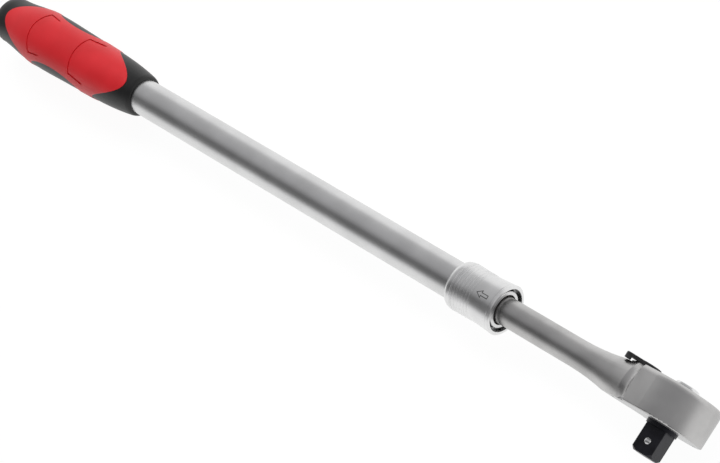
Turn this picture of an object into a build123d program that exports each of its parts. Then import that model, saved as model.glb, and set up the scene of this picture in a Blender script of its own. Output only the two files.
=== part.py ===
"""Telescopic reversible ratchet handle with a 1/2 inch square drive.

Millimetres. X runs from the grip to the head, Z is up as the tool lies on its side, and the
drive points along -Y. Every piece is modelled about the handle's axis (y = 0, z = 0), with the
drive's axis at x = 0. All pieces are then moved along +Y by DRIVE_REACH, so that the part's
origin is the centre of the square drive's end face.
"""

from build123d import *
from math import cos, pi, radians, sin, sqrt, tan
import os

# ratchet head, from the handle's axis and the drive's axis
HEAD_RADIUS = 22.5
HEAD_TAPER = 20.0
HEAD_ABOVE = 12.0
HEAD_BELOW = 10.0
HEAD_TOP_EDGE = 3.0
HEAD_BOTTOM_EDGE = 0.9
HEAD_CEILING = 4.0

# neck, behind the drive's axis
NECK_START = 65.0
NECK_RADIUS = 130.0
THROAT_START = 27.5
THROAT_RADIUS = 6.0
THROAT_ANGLE = 75.0

# rod
ROD_RADIUS = 8.0
RUNNING_FIT = 0.04
LOCK_PITCH = 40.0
LOCK_COUNT = 7
KEYWAY_WIDTH = 4.1
KEYWAY_DEPTH = 3.0
REAR_SPIGOT_RADIUS = 6.0
REAR_RING_LENGTH = 14.0

# handle tube
TUBE_RADIUS = 11.0
TUBE_WALL = 2.0
TUBE_FRONT = 117.5
TUBE_LENGTH = 406.5
TUBE_EDGE = 0.3
BUSH_INSET = 3.0
BUSH_LENGTH = 52.0
GUIDE_PIN_RADIUS = 2.0
GUIDE_PIN_SETBACK = 23.0

# lock balls and the collar that drives them
LOCK_BALL_RADIUS = 2.0
LOCK_BALL_COUNT = 3
LOCK_BALL_SETBACK = 11.7
LOCK_GRIP = 0.9
BALL_PLAY = 0.05
COLLAR_TRAVEL = 5.0
COLLAR_LENGTH = 35.0
COLLAR_OVERHANG = 1.2
COLLAR_REAR_RADIUS = 14.2
COLLAR_WAIST_RADIUS = 13.9
COLLAR_FRONT_RADIUS = 14.9
COLLAR_REAR_BEVEL = 4.2
COLLAR_MOUTH_RADIUS = 12.85
COLLAR_REAR_WALL = 4.0
COLLAR_RIDGES = 7
RIDGE_PITCH = 2.2
RIDGE_HEIGHT = 0.3
RIDGE_START = 5.4
CONE_RING_LENGTH = 11.0
CONE_RING_LAND = 4.0
COLLAR_RING_THICKNESS = 1.0
COLLAR_RING_GRIP = 0.5
SEAT_RING_THICKNESS = 1.6
SEAT_RING_STAND = 1.3
SEAT_GROOVE_DEPTH = 0.6
COLLAR_SPRING_WIRE = 1.1
COLLAR_SPRING_COILS = 5

# grip
GRIP_OVERLAP = 104.0
GRIP_END_WALL = 18.0
GRIP_END_RADIUS = 14.6
GRIP_BELLY_RADIUS = 17.4
GRIP_NECK_RADIUS = 13.5
GRIP_NOSE = 2.4
PANEL_THICKNESS = 1.8
PANEL_PROUD = 0.35
PANEL_GAP = 1.2
PANEL_REAR_MARGIN = 10.5
PANEL_FRONT_MARGIN = 6.5
PANEL_WAIST = 14.8
GROOVE_WIDTH = 0.9
GROOVE_DEPTH = 0.6
HANG_HOLE_RADIUS = 3.0
HANG_HOLE_SETBACK = 8.8

# ratchet gear and square drive
SQUARE = 12.7
SQUARE_LENGTH = 15.7
SQUARE_CORNER = 0.7
SQUARE_END_CHAMFER = 2.0
SHOULDER_STAND = 2.2
SHOULDER_RADIUS = 9.0
GEAR_TIP_RADIUS = 17.0
GEAR_TEETH = 72
TOOTH_DEPTH = 0.65
GEAR_CLEARANCE = 0.6
HUB_RADIUS = 9.6
TOOTH_CLEARANCE = 0.06
THRUST_WASHER = 0.8
FACE_GAP = 0.1
PLATE_GAP = 0.2

# cover plate
PLATE_THICKNESS = 1.6
PLATE_MARGIN = 1.0
PLATE_TAIL_X = 33.0
PLATE_TAIL_RADIUS = 4.2
PLATE_FIT = 0.05
SCREW_RADIUS = 1.0
SCREW_HEAD_RADIUS = 1.6
SCREW_LENGTH = 7.0
NOSE_SCREW_ANGLE = 50.0

# reversing lever and pawl
LEVER_PIVOT_X = 24.5
LEVER_REST_ANGLE = 30.0
LEVER_DISC_RADIUS = 6.3
LEVER_THICKNESS = 2.0
LEVER_REACH = 14.4
LEVER_TIP_RADIUS = 3.0
LEVER_LEG = 1.5
SHAFT_RADIUS = 3.5
CLIP_THICKNESS = 0.8
PLUNGER_RADIUS = 1.2
PAWL_SWING = 6.0
PAWL_HUB_RADIUS = 6.2
PAWL_ARM_RADIUS = 1.6
PAWL_ARM_ANGLE = 36.0
PAWL_CLEARANCE = 0.9

# quick release
BUTTON_RADIUS = 7.0
BUTTON_STAND = 2.5
BUTTON_TRAVEL = 2.5
BUTTON_FLANGE = 0.9
PIN_RADIUS = 2.5
DRIVE_BALL_RADIUS = 2.38
DRIVE_BALL_STAND = 1.0
DRIVE_BALL_FROM_END = 7.3

# worked out from the sizes above
DRIVE_REACH = HEAD_BELOW + SHOULDER_STAND + SQUARE_LENGTH
STROKE = LOCK_PITCH * (LOCK_COUNT - 1)
TUBE_BORE = TUBE_RADIUS - TUBE_WALL
TUBE_REAR = TUBE_FRONT + TUBE_LENGTH
BUSH_FRONT = TUBE_FRONT + BUSH_INSET
BUSH_REAR = BUSH_FRONT + BUSH_LENGTH
LOCK_BALL_X = TUBE_FRONT + LOCK_BALL_SETBACK
GUIDE_PIN_X = TUBE_FRONT + GUIDE_PIN_SETBACK
BALL_LOCKED = ROD_RADIUS - LOCK_GRIP + LOCK_BALL_RADIUS
BALL_FREE = ROD_RADIUS + BALL_PLAY + LOCK_BALL_RADIUS
CONE_SLOPE = (BALL_FREE - BALL_LOCKED) / COLLAR_TRAVEL
REAR_RING_FRONT = BUSH_REAR + STROKE
REAR_RING_REAR = REAR_RING_FRONT + REAR_RING_LENGTH
COLLAR_FRONT = TUBE_FRONT - COLLAR_OVERHANG
COLLAR_REAR = COLLAR_FRONT + COLLAR_LENGTH
CONE_RING_REAR = LOCK_BALL_X + CONE_RING_LAND
CONE_RING_FRONT = CONE_RING_REAR - CONE_RING_LENGTH
SEAT_RING_REAR = COLLAR_REAR - COLLAR_REAR_WALL
SPRING_CAVITY = TUBE_RADIUS + SEAT_RING_STAND + 0.3
GRIP_FRONT = TUBE_REAR - GRIP_OVERLAP - 6.7
GRIP_REAR = TUBE_REAR + GRIP_END_WALL + 1.0
CEILING_Y = HEAD_ABOVE - HEAD_CEILING
PLATE_Y = -HEAD_BELOW + PLATE_THICKNESS
GEAR_TOP = CEILING_Y - THRUST_WASHER - 2 * FACE_GAP
GEAR_BOTTOM = PLATE_Y + PLATE_GAP
DRIVE_BALL_Y = -DRIVE_REACH + DRIVE_BALL_FROM_END
DRIVE_BALL_Z = SQUARE / 2 + DRIVE_BALL_STAND - DRIVE_BALL_RADIUS
LEVER_Y = HEAD_ABOVE + 0.15
PAWL_TOP = CEILING_Y - 0.3
PAWL_BOTTOM = GEAR_BOTTOM + CLIP_THICKNESS + 0.4
PAWL_ARM_ORBIT = GEAR_TIP_RADIUS + PAWL_ARM_RADIUS


def outline(*points):
    """A closed face with straight sides, in the X-Y plane."""
    return make_face(Polyline(*points, close=True))


def turned(*points):
    """A body turned about the handle's axis, from an outline of (x, radius)."""
    return revolve(outline(*points), Axis.X)


def tube_between(rear, front, outer, inner):
    """A ring or sleeve about the handle's axis, between two distances behind the drive."""
    return turned((-rear, inner), (-front, inner), (-front, outer), (-rear, outer))


def drive_turned(*points):
    """A body turned about the drive's axis, from an outline of (radius, y)."""
    return revolve(outline(*points), Axis.Y)


def slab(sketch, low, high):
    """A flat (x, z) outline given thickness between two heights along Y."""
    return extrude(Plane.XZ.offset(-high) * sketch, high - low)


def spoke(radius, low, high, x, angle):
    """A round bar that stands out of the handle's axis at x, at an angle from +Y towards +Z."""
    bar = Pos(0, (low + high) / 2, 0) * Rot(90, 0, 0) * Cylinder(radius, high - low)
    return Pos(-x, 0, 0) * Rot(angle, 0, 0) * bar


def ball_angles():
    """Angles of the lock balls round the tube, the first one upward."""
    return [90 + 360 * i / LOCK_BALL_COUNT for i in range(LOCK_BALL_COUNT)]


def split_ring(ring, width, x, thickness):
    """A ring about the handle's axis with a gap cut in its lower side."""
    return ring - Pos(-x, 0, -20) * Box(thickness * 2, width, 40)


def coil(radius, wire, coils, length):
    """A helical spring along +Z, from 0 to its length, ends included."""
    pitch = (length - wire) / coils
    path = Helix(pitch, length - wire, radius)
    section = Plane(origin=path @ 0, z_dir=path % 0) * Circle(wire / 2)
    return Pos(0, 0, wire / 2) * sweep(section, path=path, is_frenet=True)


# ---- handle ----------------------------------------------------------------------------


def outer_tube():
    """Steel tube with the ball holes, the pin hole and the groove of the spring's seat."""
    edge = TUBE_EDGE
    tube = turned(
        (-TUBE_REAR, TUBE_BORE),
        (-TUBE_FRONT, TUBE_BORE),
        (-TUBE_FRONT, TUBE_RADIUS - edge),
        (-TUBE_FRONT - edge, TUBE_RADIUS),
        (-TUBE_REAR, TUBE_RADIUS),
    )
    for angle in ball_angles():
        tube -= spoke(LOCK_BALL_RADIUS + BALL_PLAY, ROD_RADIUS, TUBE_RADIUS + 1, LOCK_BALL_X, angle)
    tube -= spoke(GUIDE_PIN_RADIUS, ROD_RADIUS, TUBE_RADIUS + 1, GUIDE_PIN_X, 270)
    seat_front = SEAT_RING_REAR - SEAT_RING_THICKNESS
    groove_floor = TUBE_RADIUS - SEAT_GROOVE_DEPTH
    tube -= tube_between(SEAT_RING_REAR, seat_front, TUBE_RADIUS + 1, groove_floor)
    return tube


def front_bush():
    """Thin bearing sleeve pressed into the tube's mouth, drilled with the tube."""
    bush = tube_between(BUSH_REAR, BUSH_FRONT, TUBE_BORE, ROD_RADIUS + RUNNING_FIT)
    for angle in ball_angles():
        bush -= spoke(LOCK_BALL_RADIUS + BALL_PLAY, ROD_RADIUS - 1, TUBE_RADIUS, LOCK_BALL_X, angle)
    bush -= spoke(GUIDE_PIN_RADIUS, ROD_RADIUS - 1, TUBE_RADIUS, GUIDE_PIN_X, 270)
    return bush


def guide_pin():
    """Pin through tube and bush whose end runs in the rod's keyway."""
    tip = ROD_RADIUS - KEYWAY_DEPTH + 0.3
    pin = spoke(GUIDE_PIN_RADIUS, tip, TUBE_RADIUS + 1, GUIDE_PIN_X, 270)
    return pin & tube_between(TUBE_REAR, TUBE_FRONT, TUBE_RADIUS, 1)


def spring_seat_ring():
    """Snap ring on the tube: seat of the collar's spring, and the stop of the collar."""
    front = SEAT_RING_REAR - SEAT_RING_THICKNESS
    inner = TUBE_RADIUS - SEAT_GROOVE_DEPTH
    ring = tube_between(SEAT_RING_REAR, front, TUBE_RADIUS + SEAT_RING_STAND, inner)
    return split_ring(ring, 3.0, SEAT_RING_REAR - SEAT_RING_THICKNESS / 2, SEAT_RING_THICKNESS)


# ---- lock collar -----------------------------------------------------------------------


def collar_profile():
    """Outer (x, radius) line of the collar, from its rear bevel to its flared front."""
    rear = -COLLAR_REAR
    front = -COLLAR_FRONT
    bore = TUBE_RADIUS + 2 * RUNNING_FIT
    line = Polyline((rear, bore), (rear, bore + 0.7))
    shoulder = (rear + COLLAR_REAR_BEVEL, COLLAR_REAR_RADIUS)
    waist = (rear + COLLAR_LENGTH * 0.4, COLLAR_WAIST_RADIUS)
    flare = (front - 2.6, COLLAR_FRONT_RADIUS - 0.25)
    line += Spline(
        (rear, bore + 0.7),
        shoulder,
        tangents=[(0.75, 1), (1, 0.02)],
    )
    line += Spline(shoulder, waist, flare, tangents=[(1, 0), (1, 0.06)])
    line += Polyline(
        flare,
        (front - 2.2, COLLAR_FRONT_RADIUS - 0.45),
        (front - 1.8, COLLAR_FRONT_RADIUS - 0.1),
        (front - 0.7, COLLAR_FRONT_RADIUS),
        (front, COLLAR_FRONT_RADIUS - 0.7),
        (front, COLLAR_MOUTH_RADIUS + 0.2),
        (front - 0.2, COLLAR_MOUTH_RADIUS),
    )
    return line


def lock_collar():
    """Sliding sleeve with seven ridges: cone ring's bore in front, spring's room behind."""
    bore = TUBE_RADIUS + 2 * RUNNING_FIT
    front = -COLLAR_FRONT
    groove_front = -CONE_RING_FRONT + COLLAR_RING_THICKNESS + 0.1
    groove_rear = -CONE_RING_FRONT
    ring_groove = COLLAR_MOUTH_RADIUS + COLLAR_RING_GRIP
    inside = Polyline(
        (front - 0.2, COLLAR_MOUTH_RADIUS),
        (groove_front, COLLAR_MOUTH_RADIUS),
        (groove_front, ring_groove),
        (groove_rear, ring_groove),
        (groove_rear, COLLAR_MOUTH_RADIUS),
        (-CONE_RING_REAR, COLLAR_MOUTH_RADIUS),
        (-CONE_RING_REAR, SPRING_CAVITY),
        (-SEAT_RING_REAR - FACE_GAP, SPRING_CAVITY),
        (-SEAT_RING_REAR - FACE_GAP, bore),
        (-COLLAR_REAR, bore),
    )
    collar = revolve(make_face(collar_profile() + inside), Axis.X)
    for i in range(COLLAR_RIDGES):
        x = -COLLAR_REAR + RIDGE_START + RIDGE_PITCH * (i + 0.5)
        radius = COLLAR_WAIST_RADIUS + RIDGE_HEIGHT / 2 + 0.9
        groove = Pos(x, radius) * Circle(1.05)
        collar -= revolve(groove, Axis.X)
    return collar


def lock_cone_ring():
    """Hardened ring whose straight cone lets the balls out as the collar slides back."""
    land = TUBE_RADIUS + 2 * RUNNING_FIT
    reach = LOCK_BALL_RADIUS * sqrt(1 + CONE_SLOPE**2) + BALL_PLAY / 2
    at_ball = BALL_LOCKED + reach
    land_end = -LOCK_BALL_X - (at_ball - land) / CONE_SLOPE
    cone_end = -LOCK_BALL_X + COLLAR_TRAVEL + 0.6
    cone_radius = at_ball + CONE_SLOPE * (cone_end + LOCK_BALL_X)
    return turned(
        (-CONE_RING_REAR, land),
        (land_end, land),
        (cone_end, cone_radius),
        (-CONE_RING_FRONT, cone_radius),
        (-CONE_RING_FRONT, COLLAR_MOUTH_RADIUS),
        (-CONE_RING_REAR, COLLAR_MOUTH_RADIUS),
    )


def collar_snap_ring():
    """Internal ring in the collar's bore, in front of the cone ring."""
    rear = CONE_RING_FRONT
    front = rear - COLLAR_RING_THICKNESS
    outer = COLLAR_MOUTH_RADIUS + COLLAR_RING_GRIP
    ring = tube_between(rear, front, outer, outer - 1.1)
    return split_ring(ring, 4.0, rear - COLLAR_RING_THICKNESS / 2, COLLAR_RING_THICKNESS)


def collar_spring():
    """Compression spring between the seat ring on the tube and the cone ring."""
    rear = SEAT_RING_REAR - SEAT_RING_THICKNESS
    length = rear - CONE_RING_REAR
    radius = TUBE_RADIUS + 0.35 + COLLAR_SPRING_WIRE / 2
    spring = coil(radius, COLLAR_SPRING_WIRE, COLLAR_SPRING_COILS, length)
    return Pos(-rear, 0, 0) * Rot(0, 90, 0) * spring


def lock_ball(angle):
    """One ball, seated in the rod's groove through tube and bush."""
    seat = Vector(0, BALL_LOCKED, 0).rotate(Axis.X, angle)
    return Pos(-LOCK_BALL_X, seat.Y, seat.Z) * Sphere(LOCK_BALL_RADIUS)


# ---- grip ------------------------------------------------------------------------------


def grip_line(proud):
    """Outer line of the grip over its belly, proud of the black core by so much."""
    length = GRIP_REAR - GRIP_FRONT
    belly = -GRIP_REAR + length * 0.5
    return [
        (-GRIP_REAR + length * 0.06, GRIP_END_RADIUS + 0.1 + proud),
        (-GRIP_REAR + length * 0.2, (GRIP_END_RADIUS + GRIP_BELLY_RADIUS * 3) / 4 + 0.15 + proud),
        (belly, GRIP_BELLY_RADIUS - 0.05 + proud),
        (-GRIP_FRONT - length * 0.26, GRIP_BELLY_RADIUS - 0.95 + proud),
        (-GRIP_FRONT - GRIP_NOSE, GRIP_NECK_RADIUS + proud),
    ]


def panel_window():
    """Side outline of a panel: parabolic ends and a slight waist, wider than the grip."""
    rear = -GRIP_REAR + PANEL_REAR_MARGIN
    front = -GRIP_FRONT - PANEL_FRONT_MARGIN
    half = GRIP_BELLY_RADIUS + 1.0
    rear_bow = 0.073 * half**2
    front_bow = 0.102 * half**2
    middle = (rear + front) / 2 - 5.0
    line = Bezier((rear + rear_bow, half), (rear - rear_bow, 0), (rear + rear_bow, -half))
    line += ThreePointArc(
        (rear + rear_bow, -half), (middle, -PANEL_WAIST), (front - front_bow, -half)
    )
    line += Bezier((front - front_bow, -half), (front + front_bow, 0), (front - front_bow, half))
    line += ThreePointArc(
        (front - front_bow, half), (middle, PANEL_WAIST), (rear + rear_bow, half)
    )
    return make_face(line)


def grip_solid(proud):
    """Solid of revolution under the grip's outer line."""
    points = grip_line(proud)
    line = Polyline(points[-1], (points[-1][0], 0), (points[0][0], 0), points[0])
    line += Spline(*points, tangents=[(1, 0.04), (1, -0.17)])
    return revolve(make_face(line), Axis.X)


def staple_outline(arc_x, arc_bow, arc_half, leg, leg_half, inset):
    """Closed C-shaped field in a panel: a bowed arc towards the rear and two legs forward."""
    arc_x = arc_x + inset
    arc_half = arc_half - inset
    leg_half = leg_half - inset
    line = ThreePointArc((arc_x + arc_bow, arc_half), (arc_x, 0), (arc_x + arc_bow, -arc_half))
    line += Polyline(
        (arc_x + arc_bow, -arc_half),
        (arc_x + leg, -leg_half),
        (arc_x + leg, leg_half),
        (arc_x + arc_bow, arc_half),
    )
    return make_face(line)


def panel_groove(arc_x, arc_bow, arc_half, leg, leg_half):
    """Groove along a C: the field less the same field drawn in by the groove's width."""
    field = staple_outline(arc_x, arc_bow, arc_half, leg, leg_half, 0)
    island = staple_outline(arc_x, arc_bow, arc_half, leg + GROOVE_WIDTH, leg_half, GROOVE_WIDTH)
    return extrude(field - island, GRIP_BELLY_RADIUS * 2) - grip_solid(PANEL_PROUD - GROOVE_DEPTH)


def grip_panel_left():
    """Red soft panel on the upper side, set into the core, with two C-shaped grooves."""
    window = extrude(panel_window(), GRIP_BELLY_RADIUS * 2)
    window &= Pos(-(GRIP_REAR + GRIP_FRONT) / 2, 0, PANEL_GAP / 2 + 25) * Box(300, 60, 50)
    panel = (grip_solid(PANEL_PROUD) - grip_solid(-PANEL_THICKNESS)) & window
    belly = -(GRIP_REAR + GRIP_FRONT) / 2
    panel -= panel_groove(belly - 28.0, 3.0, 14.2, 13.0, 13.0)
    panel -= panel_groove(belly + 12.0, 0.8, 12.8, 13.5, 14.4)
    return panel


def grip_panel_right():
    """The same panel on the lower side."""
    return mirror(grip_panel_left(), Plane.XY)


def grip_core():
    """Black moulded sleeve, closed at its end, with seats for the panels."""
    rear = -GRIP_REAR
    points = grip_line(0)
    nose = -GRIP_FRONT
    line = Polyline((rear, 0), (rear, GRIP_END_RADIUS - 3.4))
    line += Spline(
        (rear, GRIP_END_RADIUS - 3.4),
        (rear + 2.2, GRIP_END_RADIUS - 0.9),
        points[0],
        tangents=[(0, 1), (1, 0.04)],
    )
    line += Spline(*points, tangents=[(1, 0.04), (1, -0.17)])
    line += Spline(
        points[-1], (nose, TUBE_RADIUS + 0.5), tangents=[(1, -0.35), (0, -1)]
    )
    line += Polyline(
        (nose, TUBE_RADIUS + 0.5),
        (nose, TUBE_RADIUS),
        (-TUBE_REAR, TUBE_RADIUS),
        (-TUBE_REAR, 0),
        (rear, 0),
    )
    core = revolve(make_face(line), Axis.X)
    window = extrude(panel_window(), GRIP_BELLY_RADIUS * 2)
    window &= Pos(-(GRIP_REAR + GRIP_FRONT) / 2, 0, PANEL_GAP / 2 + 25) * Box(300, 60, 50)
    seat = window - grip_solid(-PANEL_THICKNESS)
    core -= seat
    core -= mirror(seat, Plane.XY)
    hole_x = rear + HANG_HOLE_SETBACK
    core -= Pos(hole_x, 0, 0) * Rot(90, 0, 0) * Cylinder(HANG_HOLE_RADIUS, 60)
    return core


# ---- rod and head ----------------------------------------------------------------------


def neck_profile():
    """Turned (x, radius) line of rod, neck and throat, carried on outside the head."""
    swing = THROAT_START - NECK_START
    rise = NECK_RADIUS - sqrt(NECK_RADIUS**2 - swing**2)
    neck_end = (-THROAT_START, ROD_RADIUS + rise)
    start_angle = sin_angle(-swing / NECK_RADIUS)
    end_angle = radians(THROAT_ANGLE)
    throat_end = (
        neck_end[0] + THROAT_RADIUS * (sin(end_angle) - sin(start_angle)),
        neck_end[1] + THROAT_RADIUS * (cos(start_angle) - cos(end_angle)),
    )
    clear = HEAD_RADIUS * 2
    line = Polyline((-REAR_RING_FRONT, 0), (-REAR_RING_FRONT, ROD_RADIUS), (-NECK_START, ROD_RADIUS))
    line += TangentArc((-NECK_START, ROD_RADIUS), neck_end, tangent=(1, 0))
    line += TangentArc(neck_end, throat_end, tangent=(cos(start_angle), sin(start_angle)))
    line += Polyline(
        throat_end,
        (throat_end[0] + (clear - throat_end[1]) / tan(end_angle), clear),
        (clear, clear),
        (clear, 0),
        (-REAR_RING_FRONT, 0),
    )
    return line


def sin_angle(value):
    """The angle, in radians, whose sine is value."""
    return Vector(sqrt(1 - value**2), value, 0).get_signed_angle(Vector(1, 0, 0)) * -pi / 180


def head_outline():
    """Pear-shaped (x, z) outline of the head, from its nose to the throat."""
    taper = radians(HEAD_TAPER)
    rear = -THROAT_START
    half = (HEAD_RADIUS + rear * sin(taper)) / cos(taper)
    touch = (-HEAD_RADIUS * sin(taper), HEAD_RADIUS * cos(taper))
    line = ThreePointArc(touch, (HEAD_RADIUS, 0), (touch[0], -touch[1]))
    line += Polyline((touch[0], -touch[1]), (rear, -half), (rear, half), touch)
    return make_face(line)


def plate_outline(grow):
    """Teardrop (x, z) outline of the cover plate, grown by a fit."""
    nose = Circle(HEAD_RADIUS - PLATE_MARGIN + grow)
    tail = Pos(-PLATE_TAIL_X, 0) * Circle(PLATE_TAIL_RADIUS + grow)
    return make_hull(nose.edges() + tail.edges())


def pawl_arms(grow):
    """Hull (x, z) of the pawl's hub and its two arms in the neutral position."""
    arm = radians(PAWL_ARM_ANGLE)
    x = -PAWL_ARM_ORBIT * cos(arm)
    z = PAWL_ARM_ORBIT * sin(arm)
    circles = [Pos(-LEVER_PIVOT_X, 0) * Circle(PAWL_HUB_RADIUS + grow)]
    circles += [Pos(x, side * z) * Circle(PAWL_ARM_RADIUS + grow) for side in (1, -1)]
    return make_hull(ShapeList(edge for circle in circles for edge in circle.edges()))


def screw_places():
    """(x, z) of the cover plate's screws: one in the tail and two at the nose."""
    orbit = HEAD_RADIUS - PLATE_MARGIN - SCREW_HEAD_RADIUS - 0.1
    angle = radians(NOSE_SCREW_ANGLE)
    return [
        (-PLATE_TAIL_X - 0.9, 0),
        (orbit * cos(angle), orbit * sin(angle)),
        (orbit * cos(angle), -orbit * sin(angle)),
    ]


def lock_grooves():
    """Ring grooves of the rod, one for each locking position."""
    radius = LOCK_BALL_RADIUS + 2 * BALL_PLAY
    middle = BALL_LOCKED + BALL_PLAY
    sketch = Sketch() + [
        Pos(-LOCK_BALL_X - LOCK_PITCH * i, middle) * Circle(radius) for i in range(LOCK_COUNT)
    ]
    return revolve(sketch, Axis.X)


def ratchet_head():
    """Forging of head, neck and rod, bored for the gear, the pawl, the lever and the plate."""
    head = slab(head_outline(), -HEAD_BELOW, HEAD_ABOVE)
    top = head.edges().filter_by_position(Axis.Y, HEAD_ABOVE - 0.01, HEAD_ABOVE + 0.01)
    side = top.filter_by(lambda e: (e @ 0.5).X > -THROAT_START + 0.1)
    head = fillet(side, HEAD_TOP_EDGE)
    bottom = head.edges().filter_by_position(Axis.Y, -HEAD_BELOW - 0.01, -HEAD_BELOW + 0.01)
    side = bottom.filter_by(lambda e: (e @ 0.5).X > -THROAT_START + 0.1)
    head = fillet(side, HEAD_BOTTOM_EDGE)
    shank_length = REAR_RING_FRONT - THROAT_START
    height = HEAD_ABOVE + HEAD_BELOW
    middle = (HEAD_ABOVE - HEAD_BELOW) / 2
    shank = Pos(-THROAT_START - shank_length / 2, middle, 0) * Box(shank_length, height, 40)
    body = revolve(make_face(neck_profile()), Axis.X) & (head + shank)

    gear_room = Circle(GEAR_TIP_RADIUS + GEAR_CLEARANCE)
    body -= slab(gear_room + pawl_arms(PAWL_CLEARANCE), -HEAD_BELOW, CEILING_Y)
    body -= slab(plate_outline(PLATE_FIT), -HEAD_BELOW - 1, PLATE_Y)
    body -= slab(Circle(HUB_RADIUS + RUNNING_FIT), 0, HEAD_ABOVE + 1)
    body -= slab(Pos(-LEVER_PIVOT_X, 0) * Circle(SHAFT_RADIUS + RUNNING_FIT), 0, HEAD_ABOVE + 1)
    for x, z in screw_places():
        body -= slab(Pos(x, z) * Circle(SCREW_RADIUS), PLATE_Y - 1, PLATE_Y + SCREW_LENGTH)

    sweep_room = Circle(LEVER_REACH + 3) - Circle(LEVER_REACH - 4.6)
    relief = Pos(-LEVER_PIVOT_X, 0) * (sweep_room & Pos(-10, 0) * Rectangle(20, 40))
    body -= slab(relief, HEAD_ABOVE - LEVER_LEG - 0.1, HEAD_ABOVE + 1)

    body -= lock_grooves()
    key_front = GUIDE_PIN_X - KEYWAY_WIDTH
    key_rear = GUIDE_PIN_X + STROKE + KEYWAY_WIDTH
    key_middle = Pos(-(key_front + key_rear) / 2, 0, -ROD_RADIUS + KEYWAY_DEPTH - 5)
    body -= key_middle * Box(key_rear - key_front, KEYWAY_WIDTH, 10)
    spigot = REAR_RING_LENGTH - 0.2
    body += tube_between(REAR_RING_FRONT + spigot, REAR_RING_FRONT, REAR_SPIGOT_RADIUS, 0.01)
    screw_hole = tube_between(REAR_RING_FRONT + spigot, REAR_RING_FRONT - 6, 2.5, 0)
    return body - screw_hole


def cover_plate():
    """Teardrop plate that closes the gear's room, with the drive's bore and three screws."""
    plate = slab(plate_outline(0), -HEAD_BELOW, PLATE_Y)
    plate -= slab(Circle(SHOULDER_RADIUS + RUNNING_FIT), -HEAD_BELOW - 1, PLATE_Y + 1)
    for x, z in screw_places():
        plate -= screw(x, z)
    return plate


def screw(x, z):
    """One countersunk screw, its head flush with the plate."""
    sink = SCREW_HEAD_RADIUS - SCREW_RADIUS
    shape = drive_turned(
        (0, -HEAD_BELOW),
        (SCREW_HEAD_RADIUS, -HEAD_BELOW),
        (SCREW_HEAD_RADIUS, -HEAD_BELOW + 0.3),
        (SCREW_RADIUS, -HEAD_BELOW + 0.3 + sink),
        (SCREW_RADIUS, PLATE_Y + SCREW_LENGTH - 0.4),
        (0, PLATE_Y + SCREW_LENGTH - 0.4),
    )
    return Pos(x, 0, z) * shape


def plate_screws():
    """The three screws, each with a hexagon socket."""
    socket = slab(RegularPolygon(SCREW_RADIUS * 0.9, 6), -HEAD_BELOW - 1, -HEAD_BELOW + 1.1)
    return [screw(x, z) - Pos(x, 0, z) * socket for x, z in screw_places()]


def thrust_washer():
    """Bronze washer between the gear and the head's ceiling."""
    low = GEAR_TOP + FACE_GAP
    ring = Circle(GEAR_TIP_RADIUS - 2) - Circle(HUB_RADIUS + 0.5)
    return slab(ring, low, low + THRUST_WASHER)


def rear_guide_ring():
    """Ring on the rod's hidden end that runs in the tube and stops against the bush."""
    outer = TUBE_BORE - RUNNING_FIT
    return tube_between(REAR_RING_REAR, REAR_RING_FRONT, outer, REAR_SPIGOT_RADIUS)


def stop_washer():
    """Washer that holds the guide ring on its spigot."""
    return tube_between(REAR_RING_REAR + 1.5, REAR_RING_REAR, TUBE_BORE - 1.0, 2.5)


def stop_screw():
    """Socket head screw in the rod's end."""
    rear = -REAR_RING_REAR - 1.5
    body = turned((-REAR_RING_FRONT + 5, 0), (-REAR_RING_FRONT + 5, 2.5), (rear, 2.5), (rear, 0))
    head = turned((rear, 0), (rear, 4.5), (rear - 4.6, 4.5), (rear - 5, 4.1), (rear - 5, 0))
    socket = Pos(rear - 5, 0, 0) * Rot(0, 90, 0) * extrude(RegularPolygon(2.4, 6), 5, both=True)
    return body + head - socket


# ---- drive -----------------------------------------------------------------------------


def tooth_ring(tip):
    """Toothed (x, z) outline of the gear, a tooth pointing along each axis."""
    points = []
    for i in range(GEAR_TEETH * 2):
        radius = tip if i % 2 == 0 else tip - TOOTH_DEPTH
        angle = pi * i / GEAR_TEETH
        points.append((radius * cos(angle), radius * sin(angle)))
    return outline(*points)


def hub_bore():
    """Stepped room in the gear's hub for the button, its spring and the release pin."""
    flange = BUTTON_RADIUS + BUTTON_FLANGE
    floor = button_floor() - BUTTON_TRAVEL - 0.5
    groove = retaining_ring_low()
    return drive_turned(
        (0, DRIVE_BALL_Y - DRIVE_BALL_RADIUS - BUTTON_TRAVEL - 0.6),
        (PIN_RADIUS + RUNNING_FIT, DRIVE_BALL_Y - DRIVE_BALL_RADIUS - BUTTON_TRAVEL - 0.6),
        (PIN_RADIUS + RUNNING_FIT, floor),
        (flange + RUNNING_FIT, floor),
        (flange + RUNNING_FIT, groove),
        (flange + 0.6, groove),
        (flange + 0.6, groove + 0.8),
        (flange + RUNNING_FIT, groove + 0.8),
        (flange + RUNNING_FIT, HEAD_ABOVE + 1),
        (0, HEAD_ABOVE + 1),
    )


def button_floor():
    """Height of the button's underside at rest."""
    return HEAD_ABOVE - 3.8


def retaining_ring_low():
    """Height of the button's retaining ring."""
    return HEAD_ABOVE - 1.3


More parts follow.
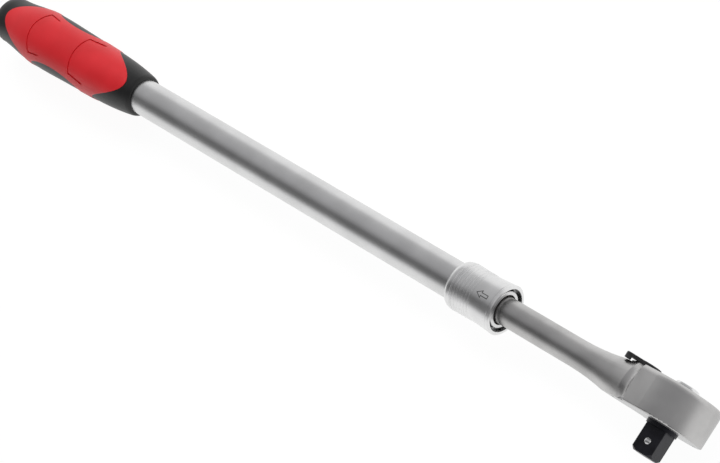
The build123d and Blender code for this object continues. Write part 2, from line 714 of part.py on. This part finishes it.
def drive_gear():
    """Black gear with its hub, round shoulder and square drive in one piece."""
    gear = slab(tooth_ring(GEAR_TIP_RADIUS), GEAR_BOTTOM, GEAR_TOP)
    gear += slab(Circle(HUB_RADIUS), GEAR_TOP, HEAD_ABOVE - 0.2)
    gear += slab(Circle(SHOULDER_RADIUS), -HEAD_BELOW - SHOULDER_STAND, GEAR_BOTTOM)
    square = RectangleRounded(SQUARE, SQUARE, SQUARE_CORNER)
    end = -DRIVE_REACH
    shaft = slab(square, end, -HEAD_BELOW - SHOULDER_STAND)
    half_diagonal = SQUARE / 2 * 1.4142
    shaft &= drive_turned(
        (0, end),
        (half_diagonal - SQUARE_END_CHAMFER - 0.2, end),
        (half_diagonal, end + SQUARE_END_CHAMFER),
        (half_diagonal, 0),
        (0, 0),
    )
    gear += shaft
    gear -= hub_bore()
    mouth = SQUARE / 2 - 0.35
    lip = sqrt(DRIVE_BALL_RADIUS**2 - (DRIVE_BALL_RADIUS - DRIVE_BALL_STAND) ** 2) + BALL_PLAY
    hole = outline(
        (0, 0),
        (DRIVE_BALL_RADIUS + BALL_PLAY, 0),
        (DRIVE_BALL_RADIUS + BALL_PLAY, mouth - 0.45),
        (lip + 0.02, SQUARE / 2),
        (lip + 0.02, SQUARE),
        (0, SQUARE),
    )
    ball_hole = Pos(0, DRIVE_BALL_Y, 0) * Rot(90, 0, 0) * revolve(hole, Axis.Y)
    return gear - ball_hole


def drive_ball():
    """Detent ball in the square, standing out of the face that looks up."""
    return Pos(0, DRIVE_BALL_Y, DRIVE_BALL_Z) * Sphere(DRIVE_BALL_RADIUS)


def release_button():
    """Button of the quick release, with a flange under the retaining ring."""
    low = button_floor()
    top = HEAD_ABOVE + BUTTON_STAND
    step = retaining_ring_low() - 0.1
    return drive_turned(
        (PIN_RADIUS, low),
        (BUTTON_RADIUS + BUTTON_FLANGE, low),
        (BUTTON_RADIUS + BUTTON_FLANGE, step),
        (BUTTON_RADIUS, step),
        (BUTTON_RADIUS, top - 1.2),
        (BUTTON_RADIUS - 0.35, top - 0.35),
        (BUTTON_RADIUS - 1.2, top),
        (0, top),
        (0, low + 2.4),
        (PIN_RADIUS, low + 2.4),
    )


def button_ring():
    """Snap ring in the hub that keeps the button in."""
    low = retaining_ring_low()
    outer = BUTTON_RADIUS + BUTTON_FLANGE + 0.6
    ring = slab(Circle(outer) - Circle(BUTTON_RADIUS + 0.15), low, low + 0.7)
    return ring - Pos(-outer, low, 0) * Box(4, 4, 3)


def release_pin():
    """Pin in the drive's middle whose cone lets the ball in as the button goes down."""
    fall = DRIVE_BALL_STAND / BUTTON_TRAVEL
    reach = DRIVE_BALL_RADIUS * sqrt(1 + fall**2) + BALL_PLAY / 2
    at_ball = DRIVE_BALL_Z - reach
    cone_start = DRIVE_BALL_Y - (PIN_RADIUS - at_ball) / fall
    waist = at_ball - DRIVE_BALL_STAND - fall * 0.4
    cone_end = DRIVE_BALL_Y + BUTTON_TRAVEL + 0.4
    return drive_turned(
        (0, DRIVE_BALL_Y - DRIVE_BALL_RADIUS),
        (PIN_RADIUS, DRIVE_BALL_Y - DRIVE_BALL_RADIUS),
        (PIN_RADIUS, cone_start),
        (waist, cone_end),
        (waist, cone_end + 2.4),
        (PIN_RADIUS, cone_end + 3.6),
        (PIN_RADIUS, button_floor() + 2.4),
        (0, button_floor() + 2.4),
    )


def button_spring():
    """Spring that lifts the button."""
    top = button_floor()
    length = BUTTON_TRAVEL + 0.5
    spring = coil(4.2, 0.6, 2, length)
    return Pos(0, top - length, 0) * Rot(-90, 0, 0) * spring


# ---- reversing lever and pawl ----------------------------------------------------------


def about_pivot(shape, angle):
    """A shape modelled about the lever's pivot, turned about it and set in place."""
    return Pos(-LEVER_PIVOT_X, 0, 0) * Rot(0, angle, 0) * shape


def reverse_lever():
    """Black lever on its shaft: a disc, a tapered tab and a turned-down thumb tip."""
    tip = Pos(-LEVER_REACH + LEVER_TIP_RADIUS, 0) * Circle(LEVER_TIP_RADIUS)
    tab = make_hull(Circle(LEVER_DISC_RADIUS * 0.72).edges() + tip.edges())
    flat = Circle(LEVER_DISC_RADIUS) + tab
    top = LEVER_Y + LEVER_THICKNESS
    lever = slab(flat, LEVER_Y, top)
    rim = lever.edges().filter_by_position(Axis.Y, top - 0.01, top + 0.01)
    lever = fillet(rim, 0.6)
    leg_front = LEVER_REACH - 3.6
    leg_shape = tip & Pos(-leg_front - 5, 0) * Rectangle(10, 20)
    lever += slab(leg_shape, LEVER_Y - LEVER_LEG, LEVER_Y + 0.5)
    clip_low = GEAR_BOTTOM + 0.2
    lever += slab(Circle(SHAFT_RADIUS), GEAR_BOTTOM, LEVER_Y)
    lever -= slab(
        Circle(SHAFT_RADIUS + 1) - Circle(SHAFT_RADIUS - 0.9), clip_low, clip_low + CLIP_THICKNESS
    )
    bore = Pos(2.5, 0, 0) * Rot(0, 90, 0) * Cylinder(PLUNGER_RADIUS + 0.03, 7)
    return about_pivot(lever - bore, LEVER_REST_ANGLE)


def lever_clip():
    """Open clip in the shaft's groove, under the pawl."""
    low = GEAR_BOTTOM + 0.2
    ring = Circle(SHAFT_RADIUS + 1.4) - Circle(SHAFT_RADIUS - 0.9)
    ring -= Pos(4, 0) * Rectangle(8, 3)
    return about_pivot(slab(ring, low, low + CLIP_THICKNESS), LEVER_REST_ANGLE)


def pawl_plunger():
    """Round-nosed plunger in the shaft that pushes the pawl over."""
    body = Pos(1.9, 0, 0) * Rot(0, 90, 0) * Cylinder(PLUNGER_RADIUS, 2.8)
    nose = Pos(3.3, 0, 0) * Sphere(PLUNGER_RADIUS)
    return about_pivot(body + nose, LEVER_REST_ANGLE)


def plunger_spring():
    """Spring behind the plunger, in the shaft's cross bore."""
    spring = Pos(-1.0, 0, 0) * Rot(0, 90, 0) * coil(0.75, 0.3, 4, 1.5)
    return about_pivot(spring, LEVER_REST_ANGLE)


def pawl():
    """Double-ended pawl, its teeth cut by the gear in both of its working positions."""
    half_swing = PAWL_SWING / 2
    blank = Pos(LEVER_PIVOT_X, 0) * pawl_arms(0)
    shape = slab(blank, PAWL_BOTTOM, PAWL_TOP)
    shape -= slab(Circle(SHAFT_RADIUS + RUNNING_FIT), PAWL_BOTTOM - 1, PAWL_TOP + 1)
    pocket_radius = SHAFT_RADIUS + PLUNGER_RADIUS + 0.1
    pocket = Circle(pocket_radius) & Pos(5, 0) * Rectangle(10, 20)
    shape -= slab(pocket, -PLUNGER_RADIUS - 0.2, PLUNGER_RADIUS + 0.2)
    cutter = Pos(LEVER_PIVOT_X, 0, 0) * slab(
        tooth_ring(GEAR_TIP_RADIUS + TOOTH_CLEARANCE), PAWL_BOTTOM - 1, PAWL_TOP + 1
    )
    for angle in (half_swing, -half_swing):
        shape -= Rot(0, -angle, 0) * cutter
    relief = Pos(LEVER_PIVOT_X, 0) * Circle(GEAR_TIP_RADIUS + 1.1)
    relief &= Pos(LEVER_PIVOT_X - GEAR_TIP_RADIUS, 0) * Rectangle(12, 12.4)
    shape -= slab(relief, PAWL_BOTTOM - 1, PAWL_TOP + 1)
    return about_pivot(shape, half_swing)


# ---- all pieces ------------------------------------------------------------------------

PIECES = {
    "outer_tube": outer_tube,
    "front_bush": front_bush,
    "guide_pin": guide_pin,
    "spring_seat_ring": spring_seat_ring,
    "grip_core": grip_core,
    "grip_panel_left": grip_panel_left,
    "grip_panel_right": grip_panel_right,
    "lock_collar": lock_collar,
    "lock_cone_ring": lock_cone_ring,
    "collar_snap_ring": collar_snap_ring,
    "collar_spring": collar_spring,
    "ratchet_head": ratchet_head,
    "cover_plate": cover_plate,
    "plate_screws": plate_screws,
    "thrust_washer": thrust_washer,
    "rear_guide_ring": rear_guide_ring,
    "stop_washer": stop_washer,
    "stop_screw": stop_screw,
    "drive_gear": drive_gear,
    "button_ring": button_ring,
    "drive_ball": drive_ball,
    "release_button": release_button,
    "release_pin": release_pin,
    "button_spring": button_spring,
    "reverse_lever": reverse_lever,
    "lever_clip": lever_clip,
    "pawl_plunger": pawl_plunger,
    "plunger_spring": plunger_spring,
    "pawl": pawl,
}
for number, angle in enumerate(ball_angles(), start=1):
    PIECES[f"lock_ball_{number}"] = lambda angle=angle: lock_ball(angle)

os.makedirs("parts", exist_ok=True)
for name, make in PIECES.items():
    made = make()
    shapes = made if isinstance(made, list) else [made]
    placed = [Pos(0, DRIVE_REACH, 0) * shape for shape in shapes]
    export_step(placed[0] if len(placed) == 1 else Compound(placed), f"parts/{name}.step")
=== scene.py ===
import math

import bmesh
import bpy
from mathutils import Matrix, Vector


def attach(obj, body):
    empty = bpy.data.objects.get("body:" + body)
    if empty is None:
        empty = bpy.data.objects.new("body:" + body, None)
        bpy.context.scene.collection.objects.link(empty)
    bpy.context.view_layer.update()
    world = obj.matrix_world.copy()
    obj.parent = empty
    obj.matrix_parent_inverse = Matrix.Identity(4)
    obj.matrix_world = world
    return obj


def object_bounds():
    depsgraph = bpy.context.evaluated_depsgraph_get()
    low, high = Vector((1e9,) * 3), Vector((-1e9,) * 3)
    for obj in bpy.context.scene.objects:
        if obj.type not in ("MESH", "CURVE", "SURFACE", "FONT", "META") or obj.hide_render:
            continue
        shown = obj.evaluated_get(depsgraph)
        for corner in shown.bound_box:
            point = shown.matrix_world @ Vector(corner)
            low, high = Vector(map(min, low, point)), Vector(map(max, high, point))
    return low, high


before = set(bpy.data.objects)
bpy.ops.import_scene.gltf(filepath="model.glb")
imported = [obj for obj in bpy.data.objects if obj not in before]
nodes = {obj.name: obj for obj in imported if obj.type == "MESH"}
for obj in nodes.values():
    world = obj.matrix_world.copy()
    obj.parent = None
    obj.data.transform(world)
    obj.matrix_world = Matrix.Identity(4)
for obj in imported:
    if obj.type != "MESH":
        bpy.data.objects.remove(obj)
cad_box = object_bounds()
scene = bpy.context.scene

# ---- Camera ----------------------------------------------------------------------------
# A long lens looks down on the handle from beyond its head, so that the head is nearest
# and the grip runs away to the upper left. The camera is rolled to lay the tool diagonally.

toward_camera = Vector((0.574, -0.0548, 0.817)).normalized()
along_tool = Vector((0.819, 0.0384, -0.573))
along_tool = (along_tool - along_tool.dot(toward_camera) * toward_camera).normalized()
across_tool = toward_camera.cross(along_tool)
if across_tool.y > 0:
    across_tool = -across_tool
roll = math.radians(30.73)
right = math.cos(roll) * along_tool - math.sin(roll) * across_tool
down = math.sin(roll) * along_tool + math.cos(roll) * across_tool
camera = bpy.data.objects.new("camera", bpy.data.cameras.new("camera"))
scene.collection.objects.link(camera)
turn = Matrix((right, -down, toward_camera)).transposed()
axis_y = 0.0279
aim_x, aim_across, camera_distance = -0.2255, 0.00343, 1.429
aim = Vector((aim_x, axis_y, 0)) + aim_across * across_tool
camera.matrix_world = Matrix.Translation(aim + camera_distance * toward_camera) @ turn.to_4x4()
camera.data.sensor_width = 36
camera.data.lens = 127
camera.data.clip_start = 0.05
scene.camera = camera
scene.view_settings.view_transform = "Standard"

# ---- Floor -----------------------------------------------------------------------------
# A plain white sheet under the tool. It glows a little to the camera and in reflections,
# so that it stays white there while the tool's soft shadow still falls on it.

floor_z = cad_box[0].z
mesh = bpy.data.meshes.new("floor")
reach = 14.0
corners = [(x * reach, y * reach, floor_z) for x, y in ((-1, -1), (1, -1), (1, 1), (-1, 1))]
mesh.from_pydata(corners, [], [(0, 1, 2, 3)])
floor = bpy.data.objects.new("floor", mesh)
scene.collection.objects.link(floor)
paper = bpy.data.materials.new("white paper")
paper.use_nodes = True
tree = paper.node_tree
tree.nodes.clear()
rays = tree.nodes.new("ShaderNodeLightPath")
seen = tree.nodes.new("ShaderNodeMath")
seen.operation = "ADD"
tree.links.new(rays.outputs["Is Camera Ray"], seen.inputs[0])
tree.links.new(rays.outputs["Is Glossy Ray"], seen.inputs[1])
also = tree.nodes.new("ShaderNodeMath")
also.operation = "ADD"
tree.links.new(seen.outputs[0], also.inputs[0])
tree.links.new(rays.outputs["Is Transmission Ray"], also.inputs[1])
share = tree.nodes.new("ShaderNodeMath")
share.operation = "MULTIPLY"
share.inputs[1].default_value = 0.9
share.use_clamp = True
tree.links.new(also.outputs[0], share.inputs[0])
dull = tree.nodes.new("ShaderNodeBsdfDiffuse")
dull.inputs["Color"].default_value = (0.82, 0.82, 0.82, 1)
glow = tree.nodes.new("ShaderNodeEmission")
glow.inputs["Strength"].default_value = 1.05
both = tree.nodes.new("ShaderNodeMixShader")
tree.links.new(share.outputs[0], both.inputs["Fac"])
tree.links.new(dull.outputs[0], both.inputs[1])
tree.links.new(glow.outputs[0], both.inputs[2])
sheet_out = tree.nodes.new("ShaderNodeOutputMaterial")
tree.links.new(both.outputs[0], sheet_out.inputs["Surface"])
mesh.materials.append(paper)

# ---- Light -----------------------------------------------------------------------------
# The room is a grey dome, white near the horizon and darkest over the tool's near side,
# which gives the bright metal its dark band. The soft lamps light the dull surfaces and
# the shadow alone, so that no hard stripe of theirs runs along the polished tube.

world = bpy.data.worlds.new("room")
scene.world = world
world.use_nodes = True
tree = world.node_tree
tree.nodes.clear()
rays = tree.nodes.new("ShaderNodeLightPath")
where = tree.nodes.new("ShaderNodeTexCoord")
split = tree.nodes.new("ShaderNodeSeparateXYZ")
tree.links.new(where.outputs["Generated"], split.inputs[0])
height = tree.nodes.new("ShaderNodeValToRGB")
height.color_ramp.interpolation = "EASE"
stops = height.color_ramp.elements
stops[0].position, stops[0].color = 0.0, (1, 1, 1, 1)
stops[1].position, stops[1].color = 1.0, (0.42, 0.42, 0.43, 1)
for place, grey in ((0.16, 0.95), (0.34, 0.55)):
    stop = stops.new(place)
    stop.color = (grey, grey, grey * 1.01, 1)
tree.links.new(split.outputs["Z"], height.inputs["Fac"])
side = tree.nodes.new("ShaderNodeValToRGB")
side.color_ramp.interpolation = "EASE"
stops = side.color_ramp.elements
stops[0].position, stops[0].color = 0.0, (1, 1, 1, 1)
stops[1].position, stops[1].color = 1.0, (1, 1, 1, 1)
for place, grey in ((0.1, 1.0), (0.16, 0.3), (0.3, 0.26), (0.42, 0.7), (0.5, 0.92), (0.62, 1.0)):
    stop = stops.new(place)
    stop.color = (grey, grey, grey, 1)
half = tree.nodes.new("ShaderNodeMath")
half.operation = "MULTIPLY_ADD"
half.inputs[1].default_value = 0.5
half.inputs[2].default_value = 0.5
tree.links.new(split.outputs["Y"], half.inputs[0])
tree.links.new(half.outputs[0], side.inputs["Fac"])
dome = tree.nodes.new("ShaderNodeMix")
dome.data_type = "RGBA"
dome.blend_type = "MULTIPLY"
dome.inputs["Factor"].default_value = 1.0
tree.links.new(height.outputs["Color"], dome.inputs["A"])
tree.links.new(side.outputs["Color"], dome.inputs["B"])
plain = tree.nodes.new("ShaderNodeMix")
plain.data_type = "RGBA"
plain.inputs["B"].default_value = (1, 1, 1, 1)
tree.links.new(rays.outputs["Is Camera Ray"], plain.inputs["Factor"])
tree.links.new(dome.outputs["Result"], plain.inputs["A"])
air = tree.nodes.new("ShaderNodeBackground")
air.inputs["Strength"].default_value = 1.0
tree.links.new(plain.outputs["Result"], air.inputs["Color"])
world_out = tree.nodes.new("ShaderNodeOutputWorld")
tree.links.new(air.outputs[0], world_out.inputs["Surface"])


def softbox(name, place, target, size, watts):
    """A square lamp that hangs at a place and looks at a target."""
    lamp = bpy.data.lights.new(name, "AREA")
    lamp.shape = "RECTANGLE"
    lamp.size, lamp.size_y = size
    lamp.energy = watts
    hung = bpy.data.objects.new(name, lamp)
    scene.collection.objects.link(hung)
    hung.location = place
    hung.visible_glossy = False
    hung.rotation_euler = (Vector(target) - Vector(place)).to_track_quat("-Z", "Y").to_euler()


softbox("overhead lamp", (-0.5, 0.9, 1.5), (-0.25, 0, 0), (1.6, 0.7), 16)
softbox("head lamp", (0.8, -0.6, 0.9), (-0.05, 0, 0), (0.5, 0.5), 3)

# ---- Tube ------------------------------------------------------------------------------
# A seamless steel tube, ground and satin chromed. The grinding leaves fine rings round it
# and the plating a slight cloudiness.


class Number:
    """A socket of a material that can be used in sums."""

    def __init__(self, finish, socket):
        self.finish, self.socket = finish, socket

    def sum(self, kind, *others):
        return self.finish.node("Math", {"operation": kind}, [self, *others])

    def __add__(self, other):
        return self.sum("ADD", other)

    def __radd__(self, other):
        return self.sum("ADD", other)

    def __mul__(self, other):
        return self.sum("MULTIPLY", other)

    def between(self, low, high):
        """0 below low, 1 above high, and smooth in between."""
        settings = {"interpolation_type": "SMOOTHSTEP"}
        values = {"Value": self, "From Min": low, "From Max": high}
        return self.finish.node("MapRange", settings, values)


class Finish:
    """A material under the name of what it is, with its main shader's sockets."""

    def __init__(self, name, **constants):
        self.material = bpy.data.materials.new(name)
        self.material.use_nodes = True
        self.tree = self.material.node_tree
        self.shader = self.tree.nodes["Principled BSDF"]
        for socket, value in constants.items():
            self.shader.inputs[socket.replace("_", " ")].default_value = value
        self.place = self.node("TexCoord", {}, {}, "Object")

    def node(self, kind, settings, values, output=0):
        """Adds a node with its settings, then the values or links of its sockets."""
        made = self.tree.nodes.new("ShaderNode" + kind)
        for key, value in settings.items():
            setattr(made, key, value)
        pairs = values.items() if isinstance(values, dict) else enumerate(values)
        for key, value in pairs:
            if isinstance(value, Number):
                self.tree.links.new(value.socket, made.inputs[key])
            else:
                made.inputs[key].default_value = value
        return Number(self, made.outputs[output])

    def noise(self, scale, detail=3.0, stretch=(1, 1, 1)):
        """Cloudy noise on the object's own place, scale in patches per metre."""
        where = self.node("Mapping", {}, {"Vector": self.place, "Scale": stretch})
        return self.node("TexNoise", {}, {"Vector": where, "Scale": scale, "Detail": detail})

    def mix(self, factor, first, second):
        """A colour between two colours."""
        values = {"Factor": factor, "A": first, "B": second}
        return self.node("Mix", {"data_type": "RGBA"}, values, "Result")

    def feed(self, **links):
        """Links numbers or colours to the shader's sockets."""
        for socket, value in links.items():
            self.tree.links.new(value.socket, self.shader.inputs[socket.replace("_", " ")])

    def relief(self, height, depth):
        """A bump whose height of 1 is depth, in metres."""
        values = {"Height": height, "Distance": depth, "Strength": 1.0}
        self.feed(Normal=self.node("Bump", {}, values))

    def on(self, *objects):
        """Gives the finish to whole objects."""
        for thing in objects:
            thing.data.materials.clear()
            thing.data.materials.append(self.material)
            for face in thing.data.polygons:
                face.material_index = 0


def grey(value, warmth=0.0):
    """A near-neutral colour, slightly warm or cool."""
    return (value * (1 + warmth), value, value * (1 - warmth), 1)


satin = Finish("satin chrome tube", Metallic=1.0)
cloud = satin.noise(60, 4)
rings = satin.noise(900, 2, (1, 0.02, 0.02))
satin.feed(
    Base_Color=satin.mix(cloud.between(0.3, 0.7), grey(0.66), grey(0.73)),
    Roughness=0.27 + cloud * 0.06 + rings * 0.04,
)
satin.relief(rings, 0.000004)
satin.on(nodes["outer_tube"])

# ---- Grip sleeve -----------------------------------------------------------------------
# Hard black plastic moulded over the tube's end, closed at the back, with a cross hole to
# hang the tool by. Its skin has the fine grain of a spark-eroded mould.

sleeve = Finish("grained black plastic", Specular_IOR_Level=0.5)
grain = sleeve.noise(2600, 2)
worn = sleeve.noise(40, 3)
sleeve.feed(
    Base_Color=sleeve.mix(worn.between(0.35, 0.7), grey(0.008), grey(0.013)),
    Roughness=0.4 + worn * 0.1,
)
sleeve.relief(grain, 0.00003)
sleeve.on(nodes["grip_core"])

# ---- Grip panels -----------------------------------------------------------------------
# Two red soft-plastic panels overmoulded into seats in the sleeve, with moulded C-shaped
# channels. Their skin is satin, slightly mottled by the mould.

panel = Finish("red soft plastic", Specular_IOR_Level=0.5)
grain = panel.noise(2200, 2)
flow = panel.noise(35, 3)
panel.feed(
    Base_Color=panel.mix(flow.between(0.3, 0.7), (0.64, 0.014, 0.02, 1), (0.74, 0.02, 0.028, 1)),
    Roughness=0.4 + flow * 0.08,
)
panel.relief(grain, 0.00002)
panel.on(nodes["grip_panel_left"], nodes["grip_panel_right"])

# ---- Lock collar -----------------------------------------------------------------------
# A turned steel sleeve with seven ridges for the fingers, satin chromed. An arrow is
# engraved on its upper side to show which way it is drawn to free the rod.

collar = Finish("turned satin chrome", Metallic=1.0)
cloud = collar.noise(90, 4)
turning = collar.noise(1400, 2, (1, 0.02, 0.02))
collar.feed(
    Base_Color=collar.mix(cloud.between(0.3, 0.7), grey(0.74), grey(0.8)),
    Roughness=0.24 + cloud * 0.06 + turning * 0.05,
)
collar.relief(turning, 0.000005)
collar.on(nodes["lock_collar"])

# ---- Collar arrow ----------------------------------------------------------------------
# The outline of an arrow, etched dark into the collar's upper side. It points to the grip,
# the way the collar is drawn to free the rod. It is laid on the collar's own surface.

outer_line = [
    (-0.1301, 0.0),
    (-0.1263, 0.0025),
    (-0.1263, 0.0011),
    (-0.1217, 0.0011),
    (-0.1217, -0.0011),
    (-0.1263, -0.0011),
    (-0.1263, -0.0025),
]
inner_line = [
    (-0.12928, 0.0),
    (-0.12675, 0.001665),
    (-0.12675, 0.00065),
    (-0.12215, 0.00065),
    (-0.12215, -0.00065),
    (-0.12675, -0.00065),
    (-0.12675, -0.001665),
]
collar_radius, clear_of_collar = 0.0144, 0.03
etch_proud, etch_deep, edge_steps = 0.00002, 0.0001, 6
graph = bpy.context.evaluated_depsgraph_get()


def on_collar(x, across, rise):
    """A point of the arrow's plane, laid on the collar's upper side and raised a little."""
    angle = across / collar_radius
    outward = Vector((0, math.sin(angle), math.cos(angle)))
    start = Vector((x, axis_y, 0)) + clear_of_collar * outward
    _, place, *_ = scene.ray_cast(graph, start, -outward)
    return place + rise * outward


arrow_mesh = bmesh.new()
sections = []
count = len(outer_line)
for i in range(count * edge_steps):
    corner, step = divmod(i, edge_steps)
    along_edge = step / edge_steps
    section = []
    for line, rise in (
        (outer_line, etch_proud),
        (inner_line, etch_proud),
        (inner_line, -etch_deep),
        (outer_line, -etch_deep),
    ):
        (x0, a0), (x1, a1) = line[corner], line[(corner + 1) % count]
        place = on_collar(x0 + (x1 - x0) * along_edge, a0 + (a1 - a0) * along_edge, rise)
        section.append(arrow_mesh.verts.new(place))
    sections.append(section)
for i, section in enumerate(sections):
    following = sections[(i + 1) % len(sections)]
    for j in range(4):
        k = (j + 1) % 4
        arrow_mesh.faces.new((section[j], section[k], following[k], following[j]))
bmesh.ops.recalc_face_normals(arrow_mesh, faces=arrow_mesh.faces)
mesh = bpy.data.meshes.new("collar_arrow")
arrow_mesh.to_mesh(mesh)
arrow_mesh.free()
arrow = bpy.data.objects.new("collar_arrow", mesh)
scene.collection.objects.link(arrow)
etched = Finish("etched dark line", Metallic=0.4)
fleck = etched.noise(1500, 2)
etched.feed(
    Base_Color=etched.mix(fleck.between(0.3, 0.7), grey(0.05), grey(0.1)),
    Roughness=0.45 + fleck * 0.15,
)
etched.relief(fleck, 0.000004)
mesh.materials.append(etched.material)
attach(arrow, "collar")

# ---- Collar ridges ---------------------------------------------------------------------
# Seven rounded ridges turned on the collar's rear half, so that wet or oily fingers can
# draw it back. They are of the collar's own steel and chrome, and stand on its waist.

ridge_count, ridge_pitch, ridge_start = 7, 0.00215, 0.0055
ridge_round, ridge_proud = 0.0006, 0.00028
around, along = 96, 10
collar_rear = min(corner[0] for corner in nodes["lock_collar"].bound_box)
ridge_mesh = bmesh.new()
for i in range(ridge_count):
    x = collar_rear + ridge_start + ridge_pitch * i
    surface = math.hypot(*(on_collar(x, 0, 0) - Vector((x, axis_y, 0))).yz)
    middle = surface + ridge_proud - ridge_round
    loops = []
    for j in range(around):
        turned = 2 * math.pi * j / around
        loop = []
        for k in range(along):
            bent = 2 * math.pi * k / along
            radius = middle + ridge_round * math.cos(bent)
            place = (
                x + ridge_round * math.sin(bent),
                axis_y + radius * math.sin(turned),
                radius * math.cos(turned),
            )
            loop.append(ridge_mesh.verts.new(place))
        loops.append(loop)
    for j in range(around):
        following = loops[(j + 1) % around]
        for k in range(along):
            m = (k + 1) % along
            face = ridge_mesh.faces.new((loops[j][k], loops[j][m], following[m], following[k]))
            face.smooth = True
bmesh.ops.recalc_face_normals(ridge_mesh, faces=ridge_mesh.faces)
mesh = bpy.data.meshes.new("collar_ridges")
ridge_mesh.to_mesh(mesh)
ridge_mesh.free()
ridges = bpy.data.objects.new("collar_ridges", mesh)
scene.collection.objects.link(ridges)
mesh.materials.append(collar.material)
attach(ridges, "collar")

# ---- Head and rod ----------------------------------------------------------------------
# One forging, machined and polished on the neck, tumbled on the head, then chromed. The
# head's sides keep a slight orange-peel mottling from the forging.

forged = Finish("chromed forging", Metallic=1.0)
mottle = forged.noise(220, 4)
cloud = forged.noise(45, 3)
forged.feed(
    Base_Color=forged.mix(cloud.between(0.3, 0.7), grey(0.46, 0.01), grey(0.56, 0.01)),
    Roughness=0.3 + mottle * 0.12,
)
forged.relief(mottle, 0.00003)
forged.on(nodes["ratchet_head"])

# ---- Cover plate and its screws --------------------------------------------------------
# A stamped steel plate let into the head's underside, brushed lengthways, held by three
# small countersunk screws.

plate = Finish("brushed plate", Metallic=1.0)
brush = plate.noise(1500, 2, (0.03, 1, 1))
plate.feed(
    Base_Color=plate.mix(brush, grey(0.5), grey(0.62)),
    Roughness=0.3 + brush * 0.12,
)
plate.relief(brush, 0.000006)
plate.on(nodes["cover_plate"])

# ---- Square drive ----------------------------------------------------------------------
# Gear, hub, shoulder and square in one piece of steel, hardened and blacked, with a thin
# film of oil.

blacked = Finish("blacked steel", Metallic=0.6, Specular_IOR_Level=0.5)
oil = blacked.noise(160, 4)
blacked.feed(
    Base_Color=blacked.mix(oil.between(0.3, 0.7), (0.008, 0.008, 0.011, 1), (0.018, 0.018, 0.024, 1)),
    Roughness=0.33 + oil * 0.12,
)
blacked.relief(oil, 0.00001)
blacked.on(nodes["drive_gear"])

# ---- Reversing lever -------------------------------------------------------------------
# A small cast lever on its shaft, coated black.

coated = Finish("black coated lever", Specular_IOR_Level=0.5)
wear = coated.noise(300, 3)
coated.feed(
    Base_Color=coated.mix(wear.between(0.4, 0.75), grey(0.012), grey(0.03)),
    Roughness=0.38 + wear * 0.12,
)
coated.relief(wear, 0.00001)
coated.on(nodes["reverse_lever"])

# ---- Quick-release button, balls -------------------------------------------------------
# Hardened steel, ground and polished.

bright = Finish("polished steel", Metallic=1.0)
haze = bright.noise(500, 3)
bright.feed(
    Base_Color=bright.mix(haze.between(0.3, 0.7), grey(0.72), grey(0.82)),
    Roughness=0.12 + haze * 0.08,
)
bright.on(nodes["release_button"], nodes["drive_ball"])
bright.on(*(nodes[f"lock_ball_{i}"] for i in (1, 2, 3)))

# ---- Hidden steel pieces ---------------------------------------------------------------
# Pins, rings, springs, washers and screws of plain ground or drawn steel.

ground = Finish("ground steel", Metallic=1.0)
lines = ground.noise(900, 3)
ground.feed(
    Base_Color=ground.mix(lines.between(0.3, 0.7), grey(0.4), grey(0.52)),
    Roughness=0.3 + lines * 0.15,
)
ground.on(
    *(
        nodes[name]
        for name in (
            "guide_pin",
            "spring_seat_ring",
            "lock_cone_ring",
            "collar_snap_ring",
            "collar_spring",
            "plate_screws",
            "stop_washer",
            "stop_screw",
            "button_ring",
            "release_pin",
            "button_spring",
            "lever_clip",
            "pawl_plunger",
            "plunger_spring",
            "pawl",
        )
    )
)

# ---- Bearings --------------------------------------------------------------------------
# Plain bronze ring and washer that the rod's end and the gear run in. The sleeve in the
# tube's mouth is coloured near-black, a painted shade that makes the gap round the rod
# look deep.

bronze = Finish("bearing bronze", Metallic=1.0)
pores = bronze.noise(1200, 3)
bronze.feed(
    Base_Color=bronze.mix(pores.between(0.3, 0.7), (0.45, 0.28, 0.11, 1), (0.58, 0.38, 0.17, 1)),
    Roughness=0.34 + pores * 0.12,
)
bronze.on(nodes["rear_guide_ring"], nodes["thrust_washer"])
# Painted shade: the front bush's near-black colour stands for the shade in the gap round the rod.
painted_gap_shade = Finish("front bush painted with gap shade", Metallic=0.7)
bush_mottle = painted_gap_shade.noise(700, 3)
painted_gap_shade.feed(
    Base_Color=painted_gap_shade.mix(bush_mottle.between(0.3, 0.7), (0.02, 0.017, 0.013, 1), (0.045, 0.036, 0.026, 1)),
    Roughness=0.42 + bush_mottle * 0.12,
)
painted_gap_shade.on(nodes["front_bush"])
